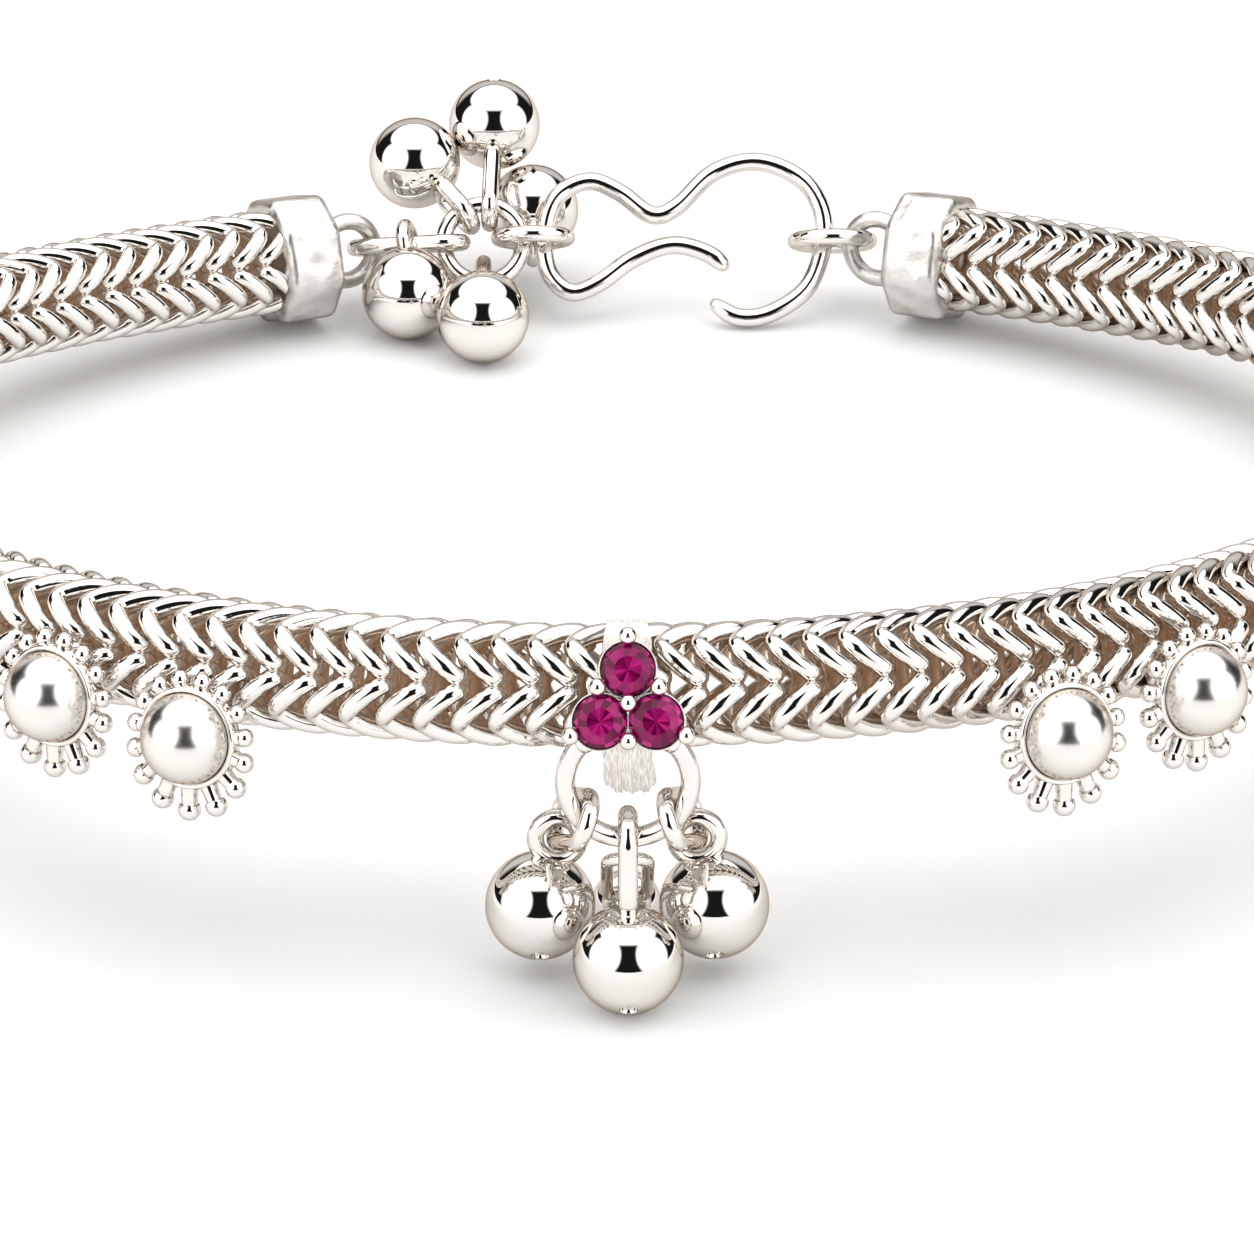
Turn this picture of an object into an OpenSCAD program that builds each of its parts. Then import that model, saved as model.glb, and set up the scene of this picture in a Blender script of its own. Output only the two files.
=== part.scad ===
// Silver anklet: a woven foxtail chain with a ruby cluster, ball drops, sunflower charms and an S-hook.
// It lies on a flat surface at Z = 0 with its front raised on the ball drops. X is to the right, Y to the back.

/* [Chain] */
// Thickness of the woven chain across its flats
chain_w = 5.6; // [5:0.1:6]
// Radius of the front stretch of the chain, in the plane of the loop
front_radius = 43; // [42:0.5:44]
// Radius of the two side stretches
side_radius = 31.5; // [31:0.1:32]
// Radius of the two back stretches that run to the caps
back_radius = 76; // [70:1:80]
// Height of the chain's centre line at the front
front_height = 13.8; // [13.8:0.1:14.1]
// Slope of the loop, from the back up to the front, in degrees
loop_tilt = 7.9; // [7.7:0.1:7.9]
// Number of woven rows in each half of the chain
half_rows = 66; // [50:1:70]
// Depth of the grooves between the chain's ribs
rib_depth = 0.3; // [0.1:0.05:0.4]

/* [Clasp] */
// Width of an end cap across its flats
cap_w = 6.65; // [6.5:0.05:6.65]
// Length of an end cap
cap_len = 3.3; // [3.1:0.1:3.4]
// Diameter of the wire in rings, links and eyes
wire_d = 0.9; // [0.8:0.02:0.92]
// Diameter of the hook's wire
hook_wire_d = 1; // [0.8:0.05:1.05]
// Centre line radius of the eye on each cap
cap_eye_r = 1.65; // [1.6:0.01:1.7]
// Centre line radius of the ring that carries the back balls
middle_ring_r = 2.15; // [2.12:0.01:2.2]

/* [Balls] */
// Diameter of a ball
ball_d = 5; // [4.8:0.05:5.05]
// Diameter of the small ball behind the front ones
small_ball_d = 3.2; // [2.8:0.1:3.4]
// Diameter of the drilled hole in each ball
ball_hole_d = 0.85; // [0.5:0.05:1]

/* [Setting] */
// Diameter of each stone
stone_d = 2.36; // [2.2:0.02:2.36]
// Diameter of a claw bead between the stones
claw_d = 0.75; // [0.6:0.05:0.8]
// Outer diameter of the ring under the setting
big_ring_d = 6.52; // [6.4:0.02:6.6]
// Diameter of that ring's wire
big_ring_wire_d = 0.92; // [0.8:0.02:0.96]

/* [Flowers] */
// Diameter of a flower's dome
dome_d = 4.06; // [3.6:0.02:4.2]
// Number of petals round a dome
petal_count = 15; // [12:1:16]
// Diameter of the bead on each petal's tip
petal_bead_d = 0.78; // [0.6:0.02:0.8]

/* [Hidden] */
$fn = 48;
silver = "#dcd9d6";
hammered_silver = "#c9c6c2";
ruby = "#b0105c";
half_w = chain_w / 2;
wire_r = wire_d / 2;
ball_r = ball_d / 2;
right = [1, 0, 0];
// The chain's front and the clasp stand at these places, so that the part's box is centred on Y = 0
front_y = -37.55;
clasp_y = front_y + 73.5;

// The three arcs of half the loop, front to back: radius and turn in degrees
arcs = [[front_radius, 75], [side_radius, 68], [back_radius, 10]];
function arc_length(k) = arcs[k][0] * arcs[k][1] * PI / 180;
half_length = arc_length(0) + arc_length(1) + arc_length(2);
pitch = half_length / half_rows;
// The outer face is rolled up at the front and down at the back
roll_mean = 2;
roll_swing = 15;
function roll(s) = roll_mean + roll_swing * cos(180 * min(max(s / half_length, 0), 1));
// End of an arc that starts at [x, depth, heading]
function along(from, radius, turn) = [
    from[0] + radius * (sin(from[2] + turn) - sin(from[2])),
    from[1] + radius * (cos(from[2]) - cos(from[2] + turn)),
    from[2] + turn
];
joint_1 = along([0, 0, 0], arcs[0][0], arcs[0][1]);
joint_2 = along(joint_1, arcs[1][0], arcs[1][1]);
// Place on the half loop at a length s from the front: x, depth and heading
function plan(s) =
    s < arc_length(0) ? along([0, 0, 0], arcs[0][0], s / arcs[0][0] * 180 / PI)
    : s < arc_length(0) + arc_length(1)
        ? along(joint_1, arcs[1][0], (s - arc_length(0)) / arcs[1][0] * 180 / PI)
        : along(joint_2, arcs[2][0], (s - arc_length(0) - arc_length(1)) / arcs[2][0] * 180 / PI);
// A point of the loop's plane, with w above it, in the part's frame
function tilted(p, w) = [
    p[0],
    front_y + p[1] * cos(loop_tilt) + w * sin(loop_tilt),
    front_height - p[1] * sin(loop_tilt) + w * cos(loop_tilt)
];
function turned(v) = [
    v[0],
    v[1] * cos(loop_tilt) + v[2] * sin(loop_tilt),
    v[2] * cos(loop_tilt) - v[1] * sin(loop_tilt)
];
// Directions at a length s: along the chain, out of its outer face, and out of its top face
function ahead(s) = turned([cos(plan(s)[2]), sin(plan(s)[2]), 0]);
function outward(s) =
    turned([sin(plan(s)[2]) * cos(roll(s)), -cos(plan(s)[2]) * cos(roll(s)), sin(roll(s))]);
function upward(s) =
    turned([-sin(plan(s)[2]) * sin(roll(s)), cos(plan(s)[2]) * sin(roll(s)), cos(roll(s))]);
function section_point(s, out, up) = tilted(plan(s), 0) + outward(s) * out + upward(s) * up;
function mirrored(p, side) = [p[0] * side, p[1], p[2]];
function unit(v) = v / norm(v);
function rounded(v) = round(v * 100) / 100;
loop_up = turned([0, 0, 1]);

// One quarter of the chain's outline: distance out, distance up, and how far towards a face's middle
quarter = [
    [half_w - 0.2, 0, 1],
    [0.96 * half_w, 0.36 * half_w, 0.6],
    [0.7 * half_w, 0.7 * half_w, 0],
    [0.36 * half_w, 0.96 * half_w, 0.6]
];
outline_points = [
    for (q = [0:3], p = quarter) [p[0] * cos(90 * q) - p[1] * sin(90 * q),
                                  p[0] * sin(90 * q) + p[1] * cos(90 * q), p[2]]
];
points_round = len(outline_points);
chain_gap = 0.1;
meet_gap = 0.1;
chain_end = half_length - chain_gap;

// Place of the caps and their eyes
cap_axis = ahead(half_length);
cap_centre = tilted(plan(half_length), 0) + cap_axis * cap_len / 2;
eye_reach = cap_len / 2 + 1.6;
cap_eye = cap_centre + cap_axis * eye_reach;
cap_eye_wire = cap_eye + cap_axis * cap_eye_r;

// The face of the setting looks up from the front by this angle
face_tilt = roll_mean + roll_swing + loop_tilt;
front_point = [0, front_y, front_height];
strap_gap = 0.09;
strap_wall = 0.31;
strap_w = 2.2;
strap_out = half_w + strap_gap + strap_wall;
plate_t = 0.4;
cup_h = 0.62;
girdle_out = strap_out + plate_t + cup_h;
cup_bore_r = stone_d / 2 + 0.03;
cup_wall = 0.11;
cluster_drop = -0.73;
// Stones of the cluster: distance to the right and up from its middle bead
stone_places = [[0, 1.54], [-1.24, -0.77], [1.24, -0.77]];
claw_places = [
    [0, 3.04], [-1.36, 0.76], [1.36, 0.76], [0, 0.07], [-2.57, -1.4], [2.57, -1.4], [0, -1.63]
];
// Heights on a stone, from the top of its cup: table, upper facets and girdle, then the depth under the girdle
table_h = 0.36;
facet_h = 0.22;
girdle_h = 0.06;
pavilion_depth = 0.55;
big_ring_y = front_y - 3.7;
big_ring_r = (big_ring_d - big_ring_wire_d) / 2;
big_ring_centre = [0, big_ring_y, front_height - 2.97];
big_ring_bottom = big_ring_centre - [0, 0, big_ring_r];
// The two lumps of solder between that ring and the cups
solder_r = 0.52;
solder_place = [1.9, -0.1, 2.06];

// Links and eyes of the balls
link_half_w = 1;
link_play = 0.12;
front_ball_centre = [0, front_y - 4.9, ball_r];
side_ball_centre = [3.95, front_y - 1.2, 3.3];
side_ball_up = unit([-0.24, 0.1, 0.966]);
// The front balls' holes look forward and down, opposite this direction
ball_hole_up = [0, 0.75, 0.66];
eye_wire_r = 0.4;
eye_r = 1;
side_eye = side_ball_centre + side_ball_up * (ball_r + 0.85);
side_eye_top = side_eye + side_ball_up * eye_r;
side_ring_angle = 43;
side_link_half_w = 1.1;
side_link_wire_r = 0.4;
side_link_flat = [0.92, -0.1, 0.36];
side_ring_point = big_ring_centre + big_ring_r * [cos(side_ring_angle), 0, -sin(side_ring_angle)];
small_ball_centre = [0, front_y + 2.05, small_ball_d / 2];
small_link_wire_r = 0.3;
small_link_half_w = 0.92;
small_link_hold = [0, front_y - 3.06, 6.35];

// The clasp leans back by this much from upright
hook_lean = 36.87;
hook_origin = [0.95, clasp_y + 0.2, 4];
hook_up = [0, sin(hook_lean), cos(hook_lean)];
// Direction to the back in the plane in which the flat rings of the clasp lie
lying = [0, cos(30), -sin(30)];
// Direction in which the cap's link stands deep
link_depth = [0, cos(26), -sin(26)];
middle_ring_centre = [-7, clasp_y, 4.1];
function middle_ring_point(angle) =
    middle_ring_centre + middle_ring_r * (cos(angle) * right + sin(angle) * hook_up);
hook_ring_left_centre = [-4.3, clasp_y + 0.25, 4.3];
hook_ring_left_r = 1.85;
hook_ring_right_centre = [12, clasp_y + 0.65, 3.85];
hook_ring_right_r = 2;
cap_link_ends = [mirrored(cap_eye_wire, -1), middle_ring_centre - right * middle_ring_r];
// Route of the hook's wire, to the right and up from the hook's origin
hook_route = [
    [5.3, -1.5], [4.2, -0.6], [2.3, -0.15], [0.2, -0.9], [-1.6, -2.2], [-3.2, -2.75], [-4.4, -1.6],
    [-4.6, 0.6], [-3.9, 2.6], [-2.2, 3.45], [-0.5, 2.8], [1.2, 1.55], [2.6, 2], [4.6, 3.9],
    [7.1, 4.5], [9.6, 3.3], [10.6, 0.8], [9.8, -2.3], [7.8, -3.9], [5.9, -4.2], [4.4, -3.3]
];
hook_steps = 4;
hook_sides = 12;
back_top = [-6.4, clasp_y + 6.5, 8.4];
back_left = [-10.75, clasp_y + 4.4, 7];
back_right = [-4.3, clasp_y + 4.9, 4];
back_low = [-11.05, clasp_y - 3.15, ball_r];
back_near = [-7, clasp_y - 6.3, ball_r];

// Flowers: lengths along the chain, distances out of and down from its centre line, and forward lean
flower_lengths = [18.7, 25.4];
flower_outs = [2.85, 3.1];
flower_downs = [3.4, 2.5];
flower_lean = 11;
collar_r = 2.36;
collar_t = 0.5;
dome_raise = 0.4;
petal_r = 0.35;
petal_reach = 2.95;
petal_extra = 0.4;
// The lowest bead is larger than the highest by this share
petal_bead_growth = 0.22;

// Puts its children at a place with their X and Y along two given directions
module framed(place, x_to, y_to) {
    x = unit(x_to);
    y = unit(y_to - (y_to * x) * x);
    z = cross(x, y);
    multmatrix([
        [x[0], y[0], z[0], place[0]],
        [x[1], y[1], z[1], place[1]],
        [x[2], y[2], z[2], place[2]]
    ]) children();
}

// A round ring of wire in its own XY plane
module wire_ring(centre_r, wire_radius) {
    rotate_extrude(convexity = 4) translate([centre_r, 0]) circle(wire_radius);
}

// A link with straight sides, its long way along X, with the given length between its ends' centre lines
module straight_link(length, half_width, wire_radius) {
    straight = 2 * rounded(length / 2 - half_width);
    for (end = [0, 1])
        rotate([0, 0, 180 * end]) {
            translate([straight / 2, 0, 0])
                rotate([0, 0, -90]) rotate_extrude(angle = 180) translate([half_width, 0]) circle(wire_radius);
            translate([-straight / 2, half_width, 0]) rotate([0, 90, 0]) cylinder(r = wire_radius, h = straight);
        }
}

// A ball with a drilled hole opposite the direction up_to
module drilled_ball(centre, radius, up_to) {
    side = abs(unit(up_to)[0]) < 0.9 ? right : [0, 1, 0];
    difference() {
        translate(centre) sphere(radius);
        framed(centre, side, cross(side, up_to))
            translate([0, 0, radius * 0.6]) cylinder(d = ball_hole_d, h = radius);
    }
}

// A ball on a soldered straight link that goes round the wire at hold
module ball_on_link(centre, radius, hold, flat_to, wire_radius, half_width, held_r, hole_to) {
    far = held_r + wire_radius + link_play;
    root = radius - 0.25;
    way = unit(hold - centre);
    length = norm(hold - centre) + far - root;
    color(silver) union() {
        drilled_ball(centre, radius, hole_to);
        framed(centre + way * (root + length / 2), way, cross(flat_to, way))
            straight_link(length, half_width, wire_radius);
    }
}

// A ball with a small round eye whose centre is at eye_centre
module ball_on_eye(centre, eye_centre, in_plane, hole_to) {
    color(silver) union() {
        drilled_ball(centre, ball_r, hole_to);
        framed(eye_centre, eye_centre - centre, in_plane) wire_ring(eye_r, eye_wire_r);
    }
}

// Half of the woven chain, from the front to a cap: side is 1 for the right half and -1 for the left
module chain_half(side) {
    rings = 2 * half_rows;
    step = (chain_end - meet_gap / 2) / rings;
    fade_length = 4 * pitch;
    points = [
        for (i = [0:rings], p = outline_points)
            let (
                s = meet_gap / 2 + i * step,
                fade = min(1, (chain_end - s) / fade_length),
                place = s + side * pitch * p[2] * fade,
                groove = 1 - (i % 2) * rib_depth / half_w * (1 - p[2] / 2)
            ) mirrored(section_point(abs(place), p[0] * groove, p[1] * groove), place < 0 ? -side : side)
    ];
    start = mirrored(section_point(pitch / 2, 0, 0), 1) + [side * meet_gap / 2, 0, 0];
    finish = mirrored(section_point(chain_end, 0, 0), side);
    all_points = concat(points, [start, finish]);
    last = rings * points_round;
    walls = [
        for (i = [0:rings - 1], j = [0:points_round - 1])
            let (
                a = i * points_round + j,
                b = i * points_round + (j + 1) % points_round,
                c = a + points_round,
                d = b + points_round
            ) each [[a, b, c], [b, d, c]]
    ];
    ends = [
        for (j = [0:points_round - 1])
            each [[len(points), (j + 1) % points_round, j],
                  [len(points) + 1, last + j, last + (j + 1) % points_round]]
    ];
    faces = [for (f = concat(walls, ends)) side > 0 ? f : [f[2], f[1], f[0]]];
    color(silver) polyhedron(all_points, faces, convexity = 10);
}

module woven_chain_left() { chain_half(-1); }
module woven_chain_right() { chain_half(1); }

// Bevelled eight-sided cap with its soldered eye, on the right side
module cap_with_eye() {
    cut = 0.27 * cap_w;
    half = cap_w / 2;
    bevel = 0.7;
    corners = [
        for (q = [0:3], p = [[half, -half + cut], [half, half - cut]])
            [p[0] * cos(90 * q) - p[1] * sin(90 * q), p[0] * sin(90 * q) + p[1] * cos(90 * q)]
    ];
    union() {
        framed(cap_centre, outward(half_length), upward(half_length))
            intersection() {
                translate([0, 0, -cap_len / 2]) linear_extrude(cap_len) polygon(corners);
                rotate_extrude()
                    polygon([
                        [0, -cap_len / 2], [half - 0.3, -cap_len / 2], [half + 0.5, -cap_len / 2 + bevel],
                        [half + 0.5, cap_len / 2 - bevel], [half - 0.3, cap_len / 2], [0, cap_len / 2]
                    ]);
            }
        framed(cap_eye, cap_axis, loop_up) wire_ring(cap_eye_r, wire_r);
    }
}

module end_cap_left() { color(hammered_silver) mirror([1, 0, 0]) cap_with_eye(); }
module end_cap_right() { color(hammered_silver) cap_with_eye(); }

// Puts its children on the setting's face: X right, Y up the face, Z out of it
module on_face() {
    translate(front_point) rotate([90 - face_tilt, 0, 0]) children();
}

// Outline of the strap round the chain, a square with round corners
module rounded_square(half, corner_r) {
    square([2 * half, 2 * (half - corner_r)], center = true);
    square([2 * (half - corner_r), 2 * half], center = true);
    for (x = [-1, 1], y = [-1, 1])
        translate([x * (half - corner_r), y * (half - corner_r)]) circle(corner_r);
}

module strap() {
    rotate([0, 90, 0]) translate([0, 0, -strap_w / 2])
        linear_extrude(strap_w)
            difference() {
                rounded_square(strap_out, 1.2);
                rounded_square(strap_out - strap_wall, 0.8);
            }
}

// The strap's free end, which hangs below the chain behind the big ring
module strap_tail() {
    tail_t = 0.35;
    tail_len = 2.1;
    tail_turn = 30;
    root = [0.1, -strap_out + 0.2, 1.6];
    flared = [[-1, 0], [1, 0], [1.25, -0.9], [0.95, -tail_len], [-0.2, -0.86 * tail_len], [-0.85, -1.2]];
    translate(root)
        rotate([tail_turn, 0, 0]) translate([0, 0, -tail_t / 2])
            linear_extrude(tail_t) polygon(flared);
}

module setting() {
    color(silver) union() {
        on_face() {
            strap();
            strap_tail();
            translate([0, cluster_drop, strap_out - 0.05]) {
                linear_extrude(plate_t + 0.05) {
                    for (p = stone_places) translate(p) circle(cup_bore_r);
                    polygon(stone_places);
                }
                translate([0, 0, plate_t])
                    difference() {
                        for (p = stone_places)
                            translate(p) cylinder(r = cup_bore_r + cup_wall, h = cup_h + 0.05);
                        for (p = stone_places)
                            translate([p[0], p[1], -1]) cylinder(r = cup_bore_r, h = 3);
                    }
                for (p = claw_places)
                    translate(p) {
                        cylinder(d = claw_d * 0.6, h = plate_t + cup_h + 0.2);
                        translate([0, 0, plate_t + cup_h + 0.43]) sphere(d = claw_d);
                    }
            }
        }
        translate(big_ring_centre) rotate([90, 0, 0]) wire_ring(big_ring_r, big_ring_wire_d / 2);
        for (side = [-1, 1])
            translate(big_ring_centre + mirrored(solder_place, side)) sphere(solder_r);
    }
}

// A round stone with a table, eight crown facets, a girdle and a pavilion
module stone(index) {
    place = stone_places[index];
    r = stone_d / 2;
    color(ruby) on_face()
        translate([place[0], place[1] + cluster_drop, girdle_out + 0.04])
            hull() {
                rotate([0, 0, 22.5]) cylinder(r = r * 0.56, h = table_h, $fn = 8);
                cylinder(r = r * 0.86, h = facet_h, $fn = 8);
                cylinder(r = r, h = girdle_h, $fn = 16);
                translate([0, 0, -pavilion_depth]) cylinder(r = 0.08, h = 0.1, $fn = 8);
            }
}

module stone_top() { stone(0); }
module stone_left() { stone(1); }
module stone_right() { stone(2); }

module ball_front() {
    ball_on_link(front_ball_centre, ball_r, big_ring_bottom, right, wire_r, link_half_w,
                 big_ring_wire_d / 2, ball_hole_up);
}

module side_ball() {
    ball_on_eye(side_ball_centre, side_eye, right, ball_hole_up);
}

module ball_left() { mirror([1, 0, 0]) side_ball(); }
module ball_right() { side_ball(); }

module ball_small() {
    ball_on_link(small_ball_centre, small_ball_d / 2, small_link_hold, cross(right, [0, 1, -0.8]),
                 small_link_wire_r, small_link_half_w, wire_r + 0.16, [0, 0.3, 0.95]);
}

// The link between the big ring and a side ball's eye, on the right side
module side_link() {
    near = big_ring_wire_d / 2 + side_link_wire_r + 0.2;
    far = eye_wire_r + side_link_wire_r + 0.16;
    way = unit(side_eye_top - side_ring_point);
    length = norm(side_eye_top - side_ring_point) + near + far;
    color(silver)
        framed(side_ring_point + way * (length / 2 - near), way, cross(side_link_flat, way))
            straight_link(length, side_link_half_w, side_link_wire_r);
}

module side_link_left() { mirror([1, 0, 0]) side_link(); }
module side_link_right() { side_link(); }

// A domed flower with bead-tipped petals, longer towards the bottom; index 0 is the inner place
module flower(index) {
    s = flower_lengths[index];
    place = section_point(s, flower_outs[index], -flower_downs[index]);
    color(silver)
        framed(place, ahead(s), upward(s)) rotate([flower_lean, 0, 0]) union() {
            translate([0, 0, -collar_t / 2]) cylinder(r = collar_r, h = collar_t);
            cylinder(d = dome_d, h = dome_raise);
            translate([0, 0, dome_raise])
                intersection() {
                    sphere(d = dome_d);
                    cylinder(d = 2 * dome_d, h = dome_d);
                }
            for (k = [0:petal_count - 1]) {
                turn = -90 + 360 * k / petal_count;
                low = max(0, -sin(turn));
                reach = petal_reach + petal_extra * pow(low, 1.5);
                bead_d = petal_bead_d * (1 + petal_bead_growth * low);
                rotate([0, 0, turn]) {
                    translate([collar_r - 0.3, 0, 0])
                        rotate([0, 90, 0]) cylinder(r = petal_r, h = reach - collar_r + 0.3);
                    translate([reach, 0, 0.02]) sphere(d = bead_d);
                }
            }
        }
}

module flower_left_outer() { mirror([1, 0, 0]) flower(1); }
module flower_left_inner() { mirror([1, 0, 0]) flower(0); }
module flower_right_inner() { flower(0); }
module flower_right_outer() { flower(1); }

// The long link from the left cap's eye to the middle ring
module cap_link() {
    play = 2 * wire_r + link_play;
    way = unit(cap_link_ends[1] - cap_link_ends[0]);
    color(silver)
        framed((cap_link_ends[0] + cap_link_ends[1]) / 2, way, link_depth)
            straight_link(norm(cap_link_ends[1] - cap_link_ends[0]) + 2 * play, link_half_w, wire_r);
}

module middle_ring() {
    color(silver) framed(middle_ring_centre, right, hook_up) wire_ring(middle_ring_r, wire_r);
}

module hook_ring_left() {
    color(silver) framed(hook_ring_left_centre, right, lying) wire_ring(hook_ring_left_r, wire_r);
}

module hook_ring_right() {
    color(silver) framed(hook_ring_right_centre, right, lying) wire_ring(hook_ring_right_r, wire_r);
}

// A smooth curve through a list of flat points, with a number of steps between neighbours
function smooth(list, steps) = [
    for (i = [0:len(list) - 2], k = [0:i == len(list) - 2 ? steps : steps - 1])
        let (
            t = k / steps,
            before = list[max(i - 1, 0)],
            from = list[i],
            to = list[i + 1],
            after = list[min(i + 2, len(list) - 1)]
        ) 0.5 * (2 * from + (to - before) * t + (2 * before - 5 * from + 4 * to - after) * t * t
                 + (3 * from - before - 3 * to + after) * t * t * t)
];

module s_hook() {
    route = smooth(hook_route, hook_steps);
    count = len(route);
    radius = hook_wire_d / 2;
    ends_r = [0.45, 0.8, 0.95];
    function tip_scale(i) = i < 3 ? ends_r[i] : i > count - 4 ? ends_r[count - 1 - i] : 1;
    function heading(i) = unit(route[min(i + 1, count - 1)] - route[max(i - 1, 0)]);
    points = [
        for (i = [0:count - 1], j = [0:hook_sides - 1])
            let (
                way = heading(i),
                flat = radius * tip_scale(i) * cos(360 * j / hook_sides),
                deep = radius * tip_scale(i) * sin(360 * j / hook_sides)
            ) [route[i][0] - way[1] * flat, route[i][1] + way[0] * flat, deep]
    ];
    walls = [
        for (i = [0:count - 2], j = [0:hook_sides - 1])
            let (
                a = i * hook_sides + j,
                b = i * hook_sides + (j + 1) % hook_sides
            ) each [[a, b, a + hook_sides], [b, b + hook_sides, a + hook_sides]]
    ];
    ends = [[for (j = [0:hook_sides - 1]) hook_sides - 1 - j],
            [for (j = [0:hook_sides - 1]) (count - 1) * hook_sides + j]];
    color(silver) framed(hook_origin, right, hook_up) polyhedron(points, concat(walls, ends), convexity = 8);
}

module back_ball_top() {
    ball_on_link(back_top, ball_r, middle_ring_point(80), right, wire_r, link_half_w, wire_r, [0, -0.3, -1]);
}

module back_ball_left() {
    ball_on_link(back_left, ball_r, middle_ring_point(124), 0.92 * right + 0.4 * hook_up, wire_r, link_half_w,
                 wire_r, [1, -0.6, 0]);
}

module back_ball_near() {
    ball_on_link(back_near, ball_r, middle_ring_point(-90), right, wire_r, link_half_w, wire_r, [0, 0.5, 1]);
}

module back_ball_low() {
    way = unit(cap_link_ends[1] - cap_link_ends[0]);
    hold = (cap_link_ends[0] + cap_link_ends[1]) / 2 - link_depth * link_half_w;
    ball_on_eye(back_low, hold, cross(hold - back_low, way), [-0.3, 0.5, 1]);
}

module back_ball_right() {
    hold = hook_ring_left_centre + lying * hook_ring_left_r;
    ball_on_eye(back_right, hold, cross(hold - back_right, right), [0, -0.2, 1]);
}

woven_chain_left();
woven_chain_right();
end_cap_left();
end_cap_right();
setting();
stone_top();
stone_left();
stone_right();
ball_front();
ball_left();
ball_right();
ball_small();
side_link_left();
side_link_right();
flower_left_outer();
flower_left_inner();
flower_right_inner();
flower_right_outer();
cap_link();
middle_ring();
hook_ring_left();
s_hook();
hook_ring_right();
back_ball_top();
back_ball_left();
back_ball_right();
back_ball_low();
back_ball_near();
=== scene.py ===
"""A silver anklet of woven chain with a ruby cluster, ball drops, flower charms and an S-hook clasp."""

import math
import random

import bmesh
import bpy
from mathutils import Matrix, Vector


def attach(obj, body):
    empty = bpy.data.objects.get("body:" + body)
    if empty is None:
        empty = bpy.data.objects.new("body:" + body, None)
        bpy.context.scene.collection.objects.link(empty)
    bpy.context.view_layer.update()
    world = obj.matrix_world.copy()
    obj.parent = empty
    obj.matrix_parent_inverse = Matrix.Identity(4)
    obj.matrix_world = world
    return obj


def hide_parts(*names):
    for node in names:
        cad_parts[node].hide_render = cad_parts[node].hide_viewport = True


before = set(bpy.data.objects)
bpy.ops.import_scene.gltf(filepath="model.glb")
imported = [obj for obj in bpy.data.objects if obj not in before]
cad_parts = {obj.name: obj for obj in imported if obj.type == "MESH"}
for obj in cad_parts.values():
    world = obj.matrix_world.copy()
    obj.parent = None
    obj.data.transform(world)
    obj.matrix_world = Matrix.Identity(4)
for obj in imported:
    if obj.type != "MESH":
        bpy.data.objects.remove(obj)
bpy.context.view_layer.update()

MM = 0.001
X_AXIS = Vector((1, 0, 0))
Y_AXIS = Vector((0, 1, 0))
Z_AXIS = Vector((0, 0, 1))
MIRROR_X = Matrix.Scale(-1, 4, X_AXIS)

# The loop, as in the part's source: two mirrored halves of three arcs, each a radius and a turn in degrees
ARCS = ((43, 75), (31.5, 68), (76, 10))
FRONT_Y = -37.55
CLASP_Y = FRONT_Y + 73.5
FRONT_HEIGHT = 13.8
LOOP_TILT = 7.9
HALF_LENGTH = sum(radius * math.radians(turn) for radius, turn in ARCS)
ROLL_MEAN = 2
ROLL_SWING = 15
FACE_TILT = ROLL_MEAN + ROLL_SWING + LOOP_TILT

# The woven chain
# Share of a wire's radius that is left when its ring of six or of four sides is smoothed
SMOOTHED_SIX = 0.83
SMOOTHED_FOUR = 0.67
CHAIN_ROWS = 66
CHAIN_START = 0.05
CHAIN_PITCH = (HALF_LENGTH - 2 * CHAIN_START) / CHAIN_ROWS
LEFT_HALF_SHIFT = 0.5
CHAIN_WIRE_R = 0.44
# The strand within each row: a ring that waves up and down four times
CORE_R = 1.2
CORE_WIRE_R = 0.31
CORE_AHEAD = 1.55
CORE_WAVE = 0.12
# Where painted shade starts on the wire, measured from the chain's middle, and how much further in it is at
# its fullest
SHADE_FROM = 2.25
SHADE_DEPTH = 0.5
# How much a row may turn, in degrees, and slip along the chain
ROW_STRAY = 1.5
ROW_SLIP = 0.03

# The clasp
CAP_W = 6.65
CAP_LEN = 3.3
CAP_BEVEL = 0.27 * CAP_W
CAP_EDGE_ROUNDING = 0.3
CAP_RIM_ROUNDING = 0.5
WIRE_R = 0.45
CAP_EYE_R = 1.65
CAP_EYE_REACH = 1.6
HOOK_WIRE_R = 0.5
HOOK_TIP_SCALES = (0.35, 0.66, 0.84, 0.94)
MIDDLE_RING_R = 2.15
HOOK_RING_LEFT_R = 1.85
HOOK_RING_RIGHT_R = 2

# Balls
BALL_R = 2.5
SMALL_BALL_R = 1.6
SMALL_BALL_WIRE_R = 0.3
HOLE_R = 0.42
# The rim of the hole is rounded over this many degrees of the ball
HOLE_LIP = 4
# How high the hole's floor is, as a share of the ball's radius
HOLE_FLOOR = 0.62
BALL_HOLE_UP = (0, 0.75, 0.66)
LINK_HALF_W = 1
LINK_PLAY = 0.12
LINK_SUNK = 0.25
BALL_EYE_R = 1
BALL_EYE_WIRE_R = 0.4
SIDE_LINK_WIRE_R = 0.4
SIDE_LINK_HALF_W = 1.1
# Where the side links hang on the big ring, in degrees below its widest place
SIDE_LINK_ANGLE = 43

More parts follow.
